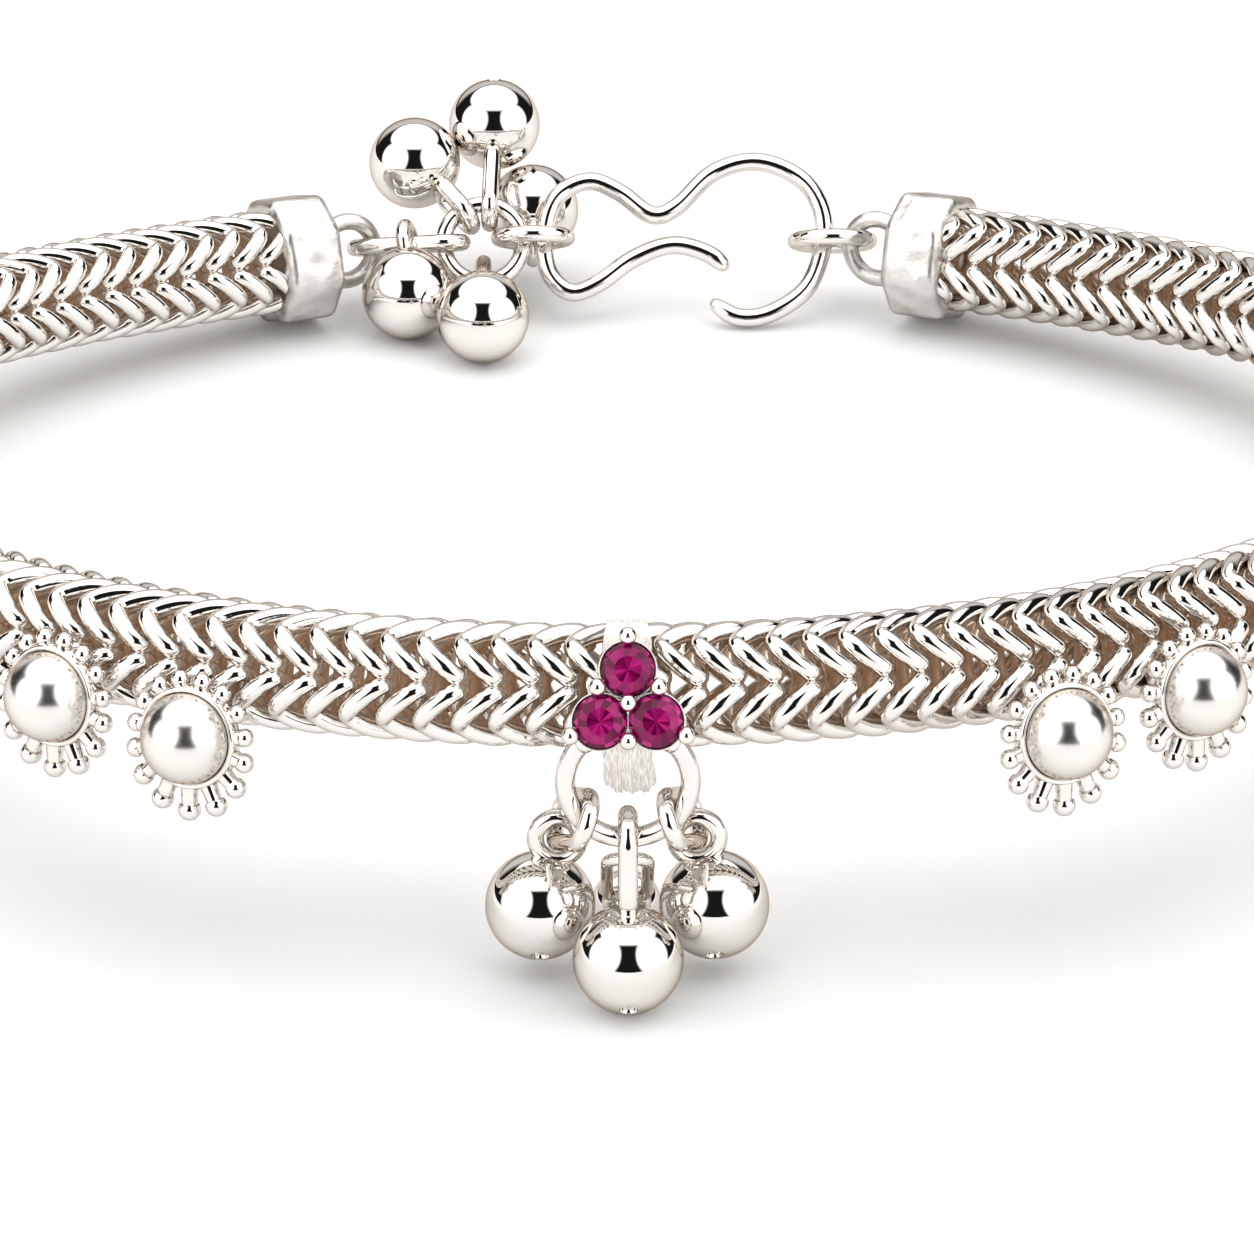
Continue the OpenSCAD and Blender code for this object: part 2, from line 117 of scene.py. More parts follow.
# The setting
STONE_R = 1.18
STONE_RISE = 0.04
CLAW_R = 0.4
CLAW_STEM_R = 0.225
CLAW_RISE = 0.38
STRAP_OUT = 3.2
STRAP_W = 2.2
STRAP_WALL = 0.2
STRAP_ROUNDING = 1.2
STRAP_TOP = 2.96
STRAP_TOP_NARROWING = 0.25
PLATE_T = 0.4
CUP_H = 0.62
CUP_BORE_R = 1.21
CUP_WALL = 0.11
CLUSTER_DROP = -0.73
TAIL_LEN = 2.9
TAIL_W = 2.1
TAIL_T = 0.2
STONE_PLACES = ((0, 1.54), (-1.24, -0.77), (1.24, -0.77))
CLAW_PLACES = ((0, 3.04), (-1.36, 0.76), (1.36, 0.76), (0, 0.07), (-2.57, -1.4), (2.57, -1.4), (0, -1.63))

# A stone's rings of corners, from the table's edge down: radius as a share, height, corners and turn
STONE_RINGS = (
    (0.52, 0.36, 16, 0), (0.86, 0.22, 16, 11.25), (1, 0.06, 32, 0), (1, 0, 32, 0), (0.07, -0.5, 16, 0),
)
# Levels of painted light and shade to choose from for the table's wedges, the facets round it and the
# outermost ones
TABLE_PAINTED_LIGHT = (0.2, 0.34, 0.5, 0.62, 0.8)
CROWN_PAINTED_LIGHT = (0.28, 0.45, 0.6, 0.78)
GIRDLE_PAINTED_LIGHT = (0.12, 0.22, 0.4, 0.9)

# Flowers
DOME_R = 2.1
COLLAR_R = 2.44
COLLAR_T = 0.5
DOME_RAISE = 0.4
COLLAR_RIM_R = 0.13
PETAL_COUNT = 15
PETAL_ROOT = COLLAR_R - 0.3
PETAL_ROOT_R = 0.43
PETAL_R = 0.36
# How far out the beads at the tips sit at the sides, and how much further below and less above
PETAL_TIP = 2.76
PETAL_TIP_LOW = 0.66
PETAL_TIP_HIGH = 0.12
PETAL_BEAD_R = 0.43
PETAL_BEAD_GROWTH = 0.22
# Places of the inner and the outer flower: length along the chain, then out of it and down from it
FLOWER_LENGTHS = (18.7, 25.4)
FLOWER_OUTS = (2.85, 3.1)
FLOWER_DOWNS = (3.4, 2.5)
FLOWER_LEAN = 11

# The camera, with distances from the cluster's middle. The focal length is in the photo's pixels
PHOTO_PX = 1254
FOCAL_PX = 7385
SENSOR_W = 36
CAMERA_ELEVATION = 26
CAMERA_YAW = -0.63
CAMERA_REACH = 331
CAMERA_RISE = 2.577
CAMERA_TARGET_Z = 13.83

# Brightness of the studio's lights
TOP_BOX_LIGHT = 2.1
SIDE_BOX_LIGHT = 1.9
WALL_LIGHT = 0.8
ROOM_LIGHT = 0.012


class Value:
    """A socket of a material's nodes. Sums with it add Math nodes."""

    def __init__(self, nodes, socket):
        self.nodes, self.socket = nodes, socket

    def math(self, operation, *terms):
        return self.nodes.add("ShaderNodeMath", {"operation": operation}, dict(enumerate(terms)))

    def __add__(self, other):
        return self.math("ADD", self, other)

    def __radd__(self, other):
        return self.math("ADD", other, self)

    def __sub__(self, other):
        return self.math("SUBTRACT", self, other)

    def __rsub__(self, other):
        return self.math("SUBTRACT", other, self)

    def __mul__(self, other):
        return self.math("MULTIPLY", self, other)

    def __rmul__(self, other):
        return self.math("MULTIPLY", other, self)

    def __truediv__(self, other):
        return self.math("DIVIDE", self, other)

    def __abs__(self):
        return self.math("ABSOLUTE", self)

    def between(self, low, high):
        """0 below low, 1 above high, with a soft step from one to the other."""
        ends = {"Value": self, "From Min": low, "From Max": high}
        return self.nodes.add("ShaderNodeMapRange", {"interpolation_type": "SMOOTHSTEP"}, ends)

    def power(self, exponent):
        return self.math("POWER", self, exponent)

    def larger(self, other):
        return self.math("MAXIMUM", self, other)


class Nodes:
    """The node tree of a material or of the surroundings."""

    def __init__(self, owner):
        owner.use_nodes = True
        self.tree = owner.node_tree
        self.tree.nodes.clear()

    def add(self, kind, settings, inputs, output=0):
        """Adds a node, sets it up, then fills its sockets with numbers or with other nodes' values."""
        node = self.tree.nodes.new(kind)
        for name, setting in settings.items():
            if name == "stops":
                self.set_stops(node.color_ramp, setting)
            else:
                setattr(node, name, setting)
        for name, term in inputs.items():
            if isinstance(term, Value):
                self.tree.links.new(term.socket, node.inputs[name])
            else:
                node.inputs[name].default_value = term
        return Value(self, node.outputs[output]) if len(node.outputs) else None

    @staticmethod
    def set_stops(ramp, stops):
        while len(ramp.elements) < len(stops):
            ramp.elements.new(1)
        for element, (position, shade) in zip(ramp.elements, stops):
            element.position = position
            element.color = (*shade, 1)

    def mix(self, share, low, high):
        """A colour between low, where share is 0, and high, where it is 1."""
        colours = {0: share, 6: low, 7: high}
        return self.add("ShaderNodeMix", {"data_type": "RGBA"}, colours, output=2)

    def place(self):
        """The point on the piece, in millimetres."""
        point = self.add("ShaderNodeTexCoord", {}, {}, output="Object")
        return self.add("ShaderNodeVectorMath", {"operation": "SCALE"}, {0: point, "Scale": 1 / MM})

    def noise(self, scale, detail=2, where=None):
        inputs = {"Vector": where or self.place(), "Scale": scale, "Detail": detail}
        return self.add("ShaderNodeTexNoise", {}, inputs)

    def bump(self, height, strength, distance):
        inputs = {"Strength": strength, "Distance": distance * MM, "Height": height}
        return self.add("ShaderNodeBump", {}, inputs)

    def attribute(self, name):
        return self.add("ShaderNodeAttribute", {"attribute_name": name}, {}, output="Fac")

    def finish(self, **sockets):
        """Adds the surface itself. Names of sockets are written with underscores."""
        inputs = {name.replace("_", " "): term for name, term in sockets.items()}
        surface = self.add("ShaderNodeBsdfPrincipled", {}, inputs)
        self.add("ShaderNodeOutputMaterial", {}, {"Surface": surface})


def colour(red, green, blue):
    return (red, green, blue, 1)


SILVER = colour(0.84, 0.82, 0.795)
WARM_SILVER = colour(0.78, 0.75, 0.715)
# Painted shade: the wire's colours deep inside the chain, where it lies in shade
SHADED_SILVER = colour(0.97, 0.79, 0.62)
DEEP_SHADE_SILVER = colour(0.86, 0.61, 0.42)
# What a silver surface keeps of its light where it turns away
EDGE_TINT = colour(0.62, 0.53, 0.46)


def new_material(name):
    material = bpy.data.materials.new(name)
    return material, Nodes(material)


def woven_silver():
    """Bright wire with painted shade, warm tan and less metallic, towards the inside of the chain."""
    material, nodes = new_material("woven_silver")
    # depth is the share of painted shade, stored on the chain's mesh
    depth = nodes.attribute("depth")
    cloud = nodes.noise(0.5)
    painted_shade = nodes.mix(cloud, SHADED_SILVER, DEEP_SHADE_SILVER)
    fine = nodes.noise(9, 3)
    nodes.finish(
        Base_Color=nodes.mix(depth, nodes.mix(cloud, SILVER, WARM_SILVER), painted_shade),
        Metallic=1 - depth * 0.75,
        Specular_Tint=EDGE_TINT,
        Roughness=0.03 + depth * 0.25 + fine * 0.03,
        Normal=nodes.bump(nodes.noise(1.6), 0.12, 0.05),
    )
    return material


def polished_silver():
    """Wire and balls with a mirror polish, faintly uneven as hand-made silver is."""
    material, nodes = new_material("mirror_silver")
    cloud = nodes.noise(0.35)
    scuffs = nodes.noise(7, 4)
    nodes.finish(
        Base_Color=nodes.mix(cloud, SILVER, WARM_SILVER),
        Metallic=1,
        Specular_Tint=EDGE_TINT,
        Roughness=0.025 + scuffs.between(0.5, 0.8) * 0.05,
        Normal=nodes.bump(nodes.noise(0.8), 0.05, 0.04),
    )
    return material


def domed_silver():
    """The flowers' domes, softly buffed."""
    material, nodes = new_material("buffed_silver")
    cloud = nodes.noise(0.5)
    nodes.finish(
        Base_Color=nodes.mix(cloud, SILVER, WARM_SILVER),
        Metallic=1,
        Specular_Tint=EDGE_TINT,
        Roughness=0.18 + nodes.noise(6, 3) * 0.06,
        Normal=nodes.bump(nodes.noise(1.1), 0.06, 0.05),
    )
    return material


def hammered_silver():
    """The caps, with small hammer marks under a satin finish, and painted shade darkening the marks'
    hollows.
    """
    material, nodes = new_material("hammered_silver")
    cells = {"Vector": nodes.place(), "Scale": 0.9, "Smoothness": 0.8}
    marks = nodes.add("ShaderNodeTexVoronoi", {"feature": "SMOOTH_F1"}, cells)
    grain = nodes.noise(5, 3)
    nodes.finish(
        # Painted shade: the colour is darker where the hammer marks are hollow
        Base_Color=nodes.mix(marks, colour(0.56, 0.54, 0.515), colour(0.74, 0.73, 0.71)),
        Metallic=1,
        Specular_Tint=EDGE_TINT,
        Roughness=0.26 + grain * 0.12,
        Normal=nodes.bump(marks + grain * 0.15, 0.6, 0.3),
    )
    return material


def brushed_silver():
    """The pale strap and its free end, with fine lines down them."""
    material, nodes = new_material("brushed_silver")
    stretch = {"Vector": nodes.place(), "Scale": (9, 1.2, 1.2)}
    streaks = nodes.noise(1.6, 4, nodes.add("ShaderNodeMapping", {}, stretch))
    nodes.finish(
        Base_Color=nodes.mix(streaks.between(0.35, 0.65), colour(0.66, 0.61, 0.55), colour(0.95, 0.93, 0.9)),
        Metallic=0.35,
        Roughness=0.5,
        Normal=nodes.bump(streaks, 0.4, 0.1),
    )
    return material


def ruby():
    """Cut ruby. Its red is its own, but each facet is darker or brighter by painted light and shade, from
    dark plum to bright pink, and a little cloudy.
    """
    material, nodes = new_material("ruby")
    tone = nodes.attribute("tone")
    stops = [
        (0, (0.03, 0, 0.012)), (0.25, (0.1, 0.001, 0.03)), (0.5, (0.2, 0.004, 0.075)),
        (0.75, (0.28, 0.007, 0.11)), (1, (0.62, 0.03, 0.25)),
    ]
    tint = nodes.add("ShaderNodeValToRGB", {"stops": stops}, {0: tone + nodes.noise(2.5) * 0.16 - 0.08})
    nodes.finish(
        Base_Color=tint,
        Metallic=0,
        Roughness=0.04,
        IOR=1.76,
        Specular_IOR_Level=0.13,
        Coat_Weight=0.05,
        Coat_Roughness=0.02,
    )
    return material


FINISHES = {
    "woven": woven_silver(),
    "polished": polished_silver(),
    "domed": domed_silver(),
    "hammered": hammered_silver(),
    "brushed": brushed_silver(),
    "ruby": ruby(),
}


# The loop's plan and directions
def along(start, radius, turn):
    """The end of an arc that starts at (x, depth, heading in degrees)."""
    x, depth, heading = start
    before, after = math.radians(heading), math.radians(heading + turn)
    return (
        x + radius * (math.sin(after) - math.sin(before)),
        depth + radius * (math.cos(before) - math.cos(after)),
        heading + turn,
    )


def plan(s):
    """x, depth and heading at a length s from the front."""
    place = (0, 0, 0)
    for radius, turn in ARCS[:-1]:
        length = radius * math.radians(turn)
        if s < length:
            return along(place, radius, math.degrees(s / radius))
        place, s = along(place, radius, turn), s - length
    return along(place, ARCS[-1][0], math.degrees(s / ARCS[-1][0]))


TILTED = Matrix.Translation((0, FRONT_Y, FRONT_HEIGHT)) @ Matrix.Rotation(-math.radians(LOOP_TILT), 4, "X")


def chain_frame(s, backwards=False):
    """A frame on the right half: X out of the chain's top face, Y out of its outer face and Z along it."""
    x, depth, heading = plan(s)
    heading = math.radians(heading)
    roll = math.radians(ROLL_MEAN + ROLL_SWING * math.cos(math.pi * min(max(s / HALF_LENGTH, 0), 1)))
    ahead = Vector((math.cos(heading), math.sin(heading), 0))
    away = Vector((math.sin(heading), -math.cos(heading), 0))
    outward = away * math.cos(roll) + Z_AXIS * math.sin(roll)
    upward = Z_AXIS * math.cos(roll) - away * math.sin(roll)
    if backwards:
        ahead = -ahead
    turn = Matrix((upward, outward, ahead)).transposed().to_4x4()
    return TILTED @ Matrix.Translation((x, depth, 0)) @ turn


def section_point(s, out, up):
    return chain_frame(s) @ Vector((up, out, 0))


def framed(place, x_to, y_to):
    """A frame at a place, with its X and Y along two directions."""
    x = Vector(x_to).normalized()
    y = Vector(y_to)
    y = (y - y.dot(x) * x).normalized()
    return Matrix.Translation(place) @ Matrix((x, y, x.cross(y))).transposed().to_4x4()


def pointing(place, direction):
    """A frame at a place, with its Z along a direction."""
    z = Vector(direction).normalized()
    side = X_AXIS if abs(z.x) < 0.9 else Y_AXIS
    return framed(place, side.cross(z), z.cross(side.cross(z)))


# Shapes. Each adds to a bmesh that is measured in millimetres
def added(bm, before):
    """The vertices that weren't there before."""
    return [vert for vert in bm.verts if vert not in before]


def faces_of(verts):
    return list({face for vert in verts for face in vert.link_faces})


def spun(bm, outline, place, steps):
    """A round form: an outline of (distance from the axis, height) turned about the frame's Z."""
    before = set(bm.verts)
    verts = [bm.verts.new((distance, 0, height)) for distance, height in outline]
    edges = [bm.edges.new(pair) for pair in zip(verts, verts[1:])]
    bmesh.ops.spin(
        bm, geom=verts + edges, cent=(0, 0, 0), axis=Z_AXIS, angle=math.tau, steps=steps, use_merge=True,
    )
    bmesh.ops.remove_doubles(bm, verts=added(bm, before), dist=1e-5)
    part = added(bm, before)
    bmesh.ops.recalc_face_normals(bm, faces=faces_of(part))
    bmesh.ops.transform(bm, matrix=place, verts=part)


def arc(radius, start, end, steps, centre=(0, 0)):
    """Outline points on a circle, by height angles in degrees."""
    angles = [math.radians(start + (end - start) * k / steps) for k in range(steps + 1)]
    return [(centre[0] + radius * math.cos(a), centre[1] + radius * math.sin(a)) for a in angles]


def sweep(bm, places, radius, sides, closed=True, scales=None):
    """A wire along a row of places, with round ends if it is open."""
    count = len(places)
    across, rims = None, []
    for k, place in enumerate(places):
        before = places[k - 1] if closed or k else place
        after = places[(k + 1) % count] if closed or k < count - 1 else place
        way = (after - before).normalized()
        across = way.orthogonal() if across is None else across
        across = (across - across.dot(way) * way).normalized()
        turn = Matrix((across, way.cross(across), way)).transposed().to_4x4()
        size = radius * (scales[k] if scales else 1)
        section = Matrix.Translation(place) @ turn
        rim = bmesh.ops.create_circle(bm, segments=sides, radius=size, matrix=section)["verts"]
        rims.append(list({edge for vert in rim for edge in vert.link_edges}))
    faces = []
    for k in range(count if closed else count - 1):
        faces += bmesh.ops.bridge_loops(bm, edges=rims[k] + rims[(k + 1) % count])["faces"]
    if not closed:
        faces += bmesh.ops.holes_fill(bm, edges=rims[0] + rims[-1], sides=sides)["faces"]
    bmesh.ops.recalc_face_normals(bm, faces=faces)


def wire_ring(bm, place, centre_r, wire_r, steps=56, sides=16):
    """A round ring in its frame's XY plane."""
    turn = [math.tau * k / steps for k in range(steps)]
    path = [place @ Vector((centre_r * math.cos(a), centre_r * math.sin(a), 0)) for a in turn]
    sweep(bm, path, wire_r, sides)


def straight_link(bm, place, length, half_width, wire_r, steps=14, sides=16):
    """A link with straight sides in its frame's XY plane, its long way along X."""
    straight = length / 2 - half_width
    path = []
    for end in (1, -1):
        for k in range(steps + 1):
            a = math.radians(-90 + 180 * k / steps)
            x, y = straight + half_width * math.cos(a), half_width * math.sin(a)
            path.append(Vector((end * x, end * y, 0)))
        path += [Vector((end * straight * (1 - 2 * k / 5), end * half_width, 0)) for k in range(1, 5)]
    sweep(bm, [place @ point for point in path], wire_r, sides)


def ball(bm, centre, radius, up_to):
    """A ball with a drilled hole, soft at its rim, opposite the direction up_to."""
    edge = math.degrees(math.acos(HOLE_R / radius))
    rim_height = radius * math.sin(math.radians(edge)) - 0.01
    bore_r = HOLE_R - 0.04
    outline = arc(radius, -90, edge - HOLE_LIP, 40)
    outline += [(HOLE_R + 0.02, rim_height), (bore_r, radius * 0.95)]
    outline += [(bore_r, radius * HOLE_FLOOR), (0, radius * HOLE_FLOOR)]
    spun(bm, outline, pointing(centre, -Vector(up_to)), 64)


def mark_creases(bm, angle):
    """Edges sharper than an angle in degrees stay crisp. The rest are shaded smooth."""
    for face in bm.faces:
        face.smooth = True
    for edge in bm.edges:
        if edge.is_manifold and edge.calc_face_angle(0) > math.radians(angle):
            edge.smooth = False


def place_piece(name, bm, finish, nodes=(), crease=40, levels=0):
    """Makes the mesh an object in metres that replaces the given nodes."""
    mark_creases(bm, crease)
    bmesh.ops.scale(bm, vec=(MM, MM, MM), verts=bm.verts[:])
    stuff = "ruby" if finish == "ruby" else "silver"
    mesh = bpy.data.meshes.new(name)
    bm.to_mesh(mesh)
    bm.free()
    mesh.materials.append(FINISHES[finish])
    piece = bpy.data.objects.new(f"{stuff}_{name}", mesh)
    bpy.context.scene.collection.objects.link(piece)
    if levels:
        smoother = piece.modifiers.new("smooth", "SUBSURF")
        smoother.levels = smoother.render_levels = levels
    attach(piece, "root")
    if nodes:
        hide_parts(*nodes)


def mirrored(bm):
    """Turns a right-hand shape into the left-hand one."""
    bmesh.ops.transform(bm, matrix=MIRROR_X, verts=bm.verts[:])
    bmesh.ops.reverse_faces(bm, faces=bm.faces[:])


# The woven chain
def chain_row():
    """One row of the weave: four bent loops whose legs dive inside, and the strand within that they catch.

    A loop's short leg lies on the front or back face and its long leg on the top or bottom one.
    """
    short_leg = [
        (1.64, 2.2, -0.16), (1.34, 2.34, 0.16), (0.98, 2.38, 0.58), (0.6, 2.38, 1.02), (0.25, 2.28, 1.52),
        (0.26, 1.86, 1.72),
    ]
    long_leg = [
        (2, 1.5, 0.08), (2.22, 1.2, 0.5), (2.36, 0.88, 1.04), (2.38, 0.58, 1.56), (2.28, 0.32, 2.05),
        (1.88, 0.32, 2.25),
    ]
    path = [(1.76, 1.78, -0.26), *short_leg, (1.05, 1.05, 0.95), *reversed(long_leg)]
    bm = bmesh.new()
    for quarter in range(4):
        turn = Matrix.Rotation(math.radians(90 * quarter), 4, "Z")
        loop = path if quarter % 2 == 0 else [(y, x, z) for x, y, z in path]
        sweep(bm, [turn @ Vector(point) for point in loop], CHAIN_WIRE_R / SMOOTHED_SIX, 6)
    strand = []
    for k in range(8):
        a = math.radians(45 * k)
        ahead = CORE_AHEAD + CORE_WAVE * math.cos(4 * a)
        strand.append(Vector((CORE_R * math.cos(a), CORE_R * math.sin(a), ahead)))
    sweep(bm, strand, CORE_WIRE_R / SMOOTHED_FOUR, 4)
    # depth holds the share of painted shade: none outside, full towards the chain's middle
    depth = bm.verts.layers.float.new("depth")
    for vert in bm.verts:
        reach = math.hypot(vert.co.x, vert.co.y)
        vert[depth] = min(max((SHADE_FROM - reach) / SHADE_DEPTH, 0), 1)
    mesh = bpy.data.meshes.new("chain_row")
    bm.to_mesh(mesh)
    bm.free()
    return mesh


def woven_half(name, side, row_mesh):
    """The rows from the front to a cap. The weave goes on one way through both halves."""
    bm = bmesh.new()
    chance = random.Random(5 + side)
    rows = CHAIN_ROWS + 1 if side > 0 else CHAIN_ROWS
    shift = 0 if side > 0 else CHAIN_PITCH + LEFT_HALF_SHIFT
    for row in range(rows):
        base = chain_frame(CHAIN_START + row * CHAIN_PITCH + shift, backwards=side < 0)
        if side < 0:
            base = MIRROR_X @ base
        start = len(bm.verts)
        bm.from_mesh(row_mesh)
        bm.verts.ensure_lookup_table()
        stray = Matrix.Rotation(math.radians(chance.uniform(-ROW_STRAY, ROW_STRAY)), 4, "Z")
        slip = Matrix.Translation((0, 0, chance.uniform(-ROW_SLIP, ROW_SLIP)))
        bmesh.ops.transform(bm, matrix=base @ slip @ stray, verts=bm.verts[start:])
    place_piece(name, bm, "woven", [name], crease=180, levels=1)


def make_chain():
    row_mesh = chain_row()
    woven_half("woven_chain_left", -1, row_mesh)
    woven_half("woven_chain_right", 1, row_mesh)


# The clasp
CAP_FRAME = chain_frame(HALF_LENGTH)
CAP_AXIS = CAP_FRAME.to_3x3() @ Z_AXIS
CAP_CENTRE = CAP_FRAME @ Vector((0, 0, CAP_LEN / 2))
CAP_EYE = CAP_CENTRE + CAP_AXIS * (CAP_LEN / 2 + CAP_EYE_REACH)
CAP_EYE_WIRE = CAP_EYE + CAP_AXIS * CAP_EYE_R
LOOP_UP = TILTED.to_3x3() @ Z_AXIS


def rounded(bm, edges, offset, segments):
    bmesh.ops.bevel(
        bm, geom=edges, offset=offset, segments=segments, profile=0.5, affect="EDGES", material=-1,
    )


def edges_along(edges, axis):
    """The edges that run along an axis: 0 for x, 1 for y and 2 for z."""
    return [edge for edge in edges if abs(edge.verts[0].co[axis] - edge.verts[1].co[axis]) > 1]


def end_cap(name, side):
    """An eight-sided cap with softened edges, and its eye."""
    bm = bmesh.new()
    size = Matrix.Diagonal((CAP_W, CAP_W, CAP_LEN, 1))
    bmesh.ops.create_cube(bm, size=1, matrix=size)
    rounded(bm, edges_along(bm.edges, 2), CAP_BEVEL, 1)
    rounded(bm, edges_along(bm.edges, 2), CAP_EDGE_ROUNDING, 3)
    rims = [e for e in bm.edges if e.verts[0].co.z * e.verts[1].co.z > 0 and len(e.link_faces) == 2]
    rounded(bm, rims, CAP_RIM_ROUNDING, 4)
    bmesh.ops.transform(bm, matrix=CAP_FRAME @ Matrix.Translation((0, 0, CAP_LEN / 2)), verts=bm.verts[:])
    wire_ring(bm, framed(CAP_EYE, CAP_AXIS, LOOP_UP), CAP_EYE_R, WIRE_R)
    if side < 0:
        mirrored(bm)
    place_piece(name, bm, "hammered", [name], crease=30)


def dipping(angle):
    """A direction to the back that dips by an angle in degrees."""
    return Vector((0, math.cos(math.radians(angle)), -math.sin(math.radians(angle))))


HOOK_LEAN = math.radians(36.87)
HOOK_UP = Vector((0, math.sin(HOOK_LEAN), math.cos(HOOK_LEAN)))
LYING = dipping(30)
LINK_DEPTH = dipping(26)
HOOK_ORIGIN = Vector((0.95, CLASP_Y + 0.2, 4))
HOOK_ROUTE = (
    (5.3, -1.5), (4.2, -0.6), (2.3, -0.15), (0.2, -0.9), (-1.6, -2.2), (-3.2, -2.75), (-4.4, -1.6),
    (-4.6, 0.6), (-3.9, 2.6), (-2.2, 3.45), (-0.5, 2.8), (1.2, 1.55), (2.6, 2), (4.6, 3.9),
    (7.1, 4.5), (9.6, 3.3), (10.6, 0.8), (9.8, -2.3), (7.8, -3.9), (5.9, -4.2), (4.4, -3.3),
)
MIDDLE_RING = framed((-7, CLASP_Y, 4.1), X_AXIS, HOOK_UP)
HOOK_RING_LEFT = framed((-4.3, CLASP_Y + 0.25, 4.3), X_AXIS, LYING)
HOOK_RING_RIGHT = framed((12, CLASP_Y + 0.65, 3.85), X_AXIS, LYING)


def smooth_route(points, steps):
    """A smooth curve through flat points, with a number of steps between neighbours."""
    points = [Vector(point) for point in points]
    made = []
    for i in range(len(points) - 1):
        before, start = points[max(i - 1, 0)], points[i]
        end, after = points[i + 1], points[min(i + 2, len(points) - 1)]
        for k in range(steps):
            t = k / steps
            square = 2 * before - 5 * start + 4 * end - after
            cube = 3 * start - before - 3 * end + after
            made.append(0.5 * (2 * start + (end - before) * t + square * t ** 2 + cube * t ** 3))
    return [*made, points[-1]]


def s_hook():
    """The hook of one wire, thinner at both tips."""
    bm = bmesh.new()
    place = framed(HOOK_ORIGIN, X_AXIS, HOOK_UP)
    path = [place @ Vector((x, y, 0)) for x, y in smooth_route(HOOK_ROUTE, 6)]
    scales = [1] * len(path)
    for k, scale in enumerate(HOOK_TIP_SCALES):
        scales[k] = scales[-1 - k] = scale
    sweep(bm, path, HOOK_WIRE_R, 16, closed=False, scales=scales)
    place_piece("s_hook", bm, "polished", ["s_hook"], crease=60)


def plain_ring(name, place, radius):
    bm = bmesh.new()
    wire_ring(bm, place, radius, WIRE_R)
    place_piece(name, bm, "polished", [name])


def middle_ring_point(angle):
    angle = math.radians(angle)
    return MIDDLE_RING @ Vector((MIDDLE_RING_R * math.cos(angle), MIDDLE_RING_R * math.sin(angle), 0))


def ball_on_link(
    name, centre, radius, hold, flat_to, up_to, wire_r=WIRE_R, half_width=LINK_HALF_W, held_r=WIRE_R,
):
    """A ball on a soldered link that goes round the wire at hold."""
    centre, hold = Vector(centre), Vector(hold)
    root = radius - LINK_SUNK
    way = (hold - centre).normalized()
    length = (hold - centre).length + held_r + wire_r + LINK_PLAY - root
    bm = bmesh.new()
    ball(bm, centre, radius, up_to)
    middle = centre + way * (root + length / 2)
    straight_link(bm, framed(middle, way, Vector(flat_to).cross(way)), length, half_width, wire_r)
    place_piece(name, bm, "polished", [name], crease=50)


def ball_on_eye(name, centre, eye, in_plane, up_to, side=1):
    """A ball with a small round eye."""
    centre, eye = Vector(centre), Vector(eye)
    bm = bmesh.new()
    ball(bm, centre, BALL_R, up_to)
    wire_ring(bm, framed(eye, eye - centre, in_plane), BALL_EYE_R, BALL_EYE_WIRE_R, 40)
    if side < 0:
        mirrored(bm)
    place_piece(name, bm, "polished", [name], crease=50)


def make_clasp():
    end_cap("end_cap_right", 1)
    end_cap("end_cap_left", -1)
    s_hook()
    plain_ring("middle_ring", MIDDLE_RING, MIDDLE_RING_R)
    plain_ring("hook_ring_left", HOOK_RING_LEFT, HOOK_RING_LEFT_R)
    plain_ring("hook_ring_right", HOOK_RING_RIGHT, HOOK_RING_RIGHT_R)

    link_start = MIRROR_X @ CAP_EYE_WIRE
    link_end = middle_ring_point(180)
    way = (link_end - link_start).normalized()
    link_middle = (link_start + link_end) / 2
    bm = bmesh.new()
    length = (link_end - link_start).length + 2 * (2 * WIRE_R + LINK_PLAY)
    straight_link(bm, framed(link_middle, way, LINK_DEPTH), length, LINK_HALF_W, WIRE_R)
    place_piece("cap_link", bm, "polished", ["cap_link"])

    left_flat = 0.92 * X_AXIS + 0.4 * HOOK_UP
    for name, centre, angle, flat_to, up_to in (
        ("back_ball_top", (-6.4, CLASP_Y + 6.5, 8.4), 80, X_AXIS, (0, -0.3, -1)),
        ("back_ball_left", (-10.75, CLASP_Y + 4.4, 7), 124, left_flat, (1, -0.6, 0)),
        ("back_ball_near", (-7, CLASP_Y - 6.3, BALL_R), -90, X_AXIS, (0, 0.5, 1)),
    ):
        ball_on_link(name, centre, BALL_R, middle_ring_point(angle), flat_to, up_to)

    low = Vector((-11.05, CLASP_Y - 3.15, BALL_R))
    low_eye = link_middle - LINK_DEPTH * LINK_HALF_W
    ball_on_eye("back_ball_low", low, low_eye, (low_eye - low).cross(way), (-0.3, 0.5, 1))
    right = Vector((-4.3, CLASP_Y + 4.9, 4))
    right_eye = HOOK_RING_LEFT @ Vector((0, HOOK_RING_LEFT_R, 0))
    ball_on_eye("back_ball_right", right, right_eye, (right_eye - right).cross(X_AXIS), (0, -0.2, 1))


# The setting and its drops
FACE = Matrix.Translation((0, FRONT_Y, FRONT_HEIGHT)) @ Matrix.Rotation(math.radians(90 - FACE_TILT), 4, "X")
CLUSTER = FACE @ Matrix.Translation((0, CLUSTER_DROP, STRAP_OUT))
BIG_RING = Vector((0, FRONT_Y - 3.7, FRONT_HEIGHT - 2.97))
BIG_RING_R = 2.8
BIG_RING_WIRE_R = 0.46
# The two beads of solder near the big ring's top. The right one's place is from the ring's middle
SOLDER_R = 0.52
SOLDER_PLACE = Vector((1.9, -0.1, 2.06))


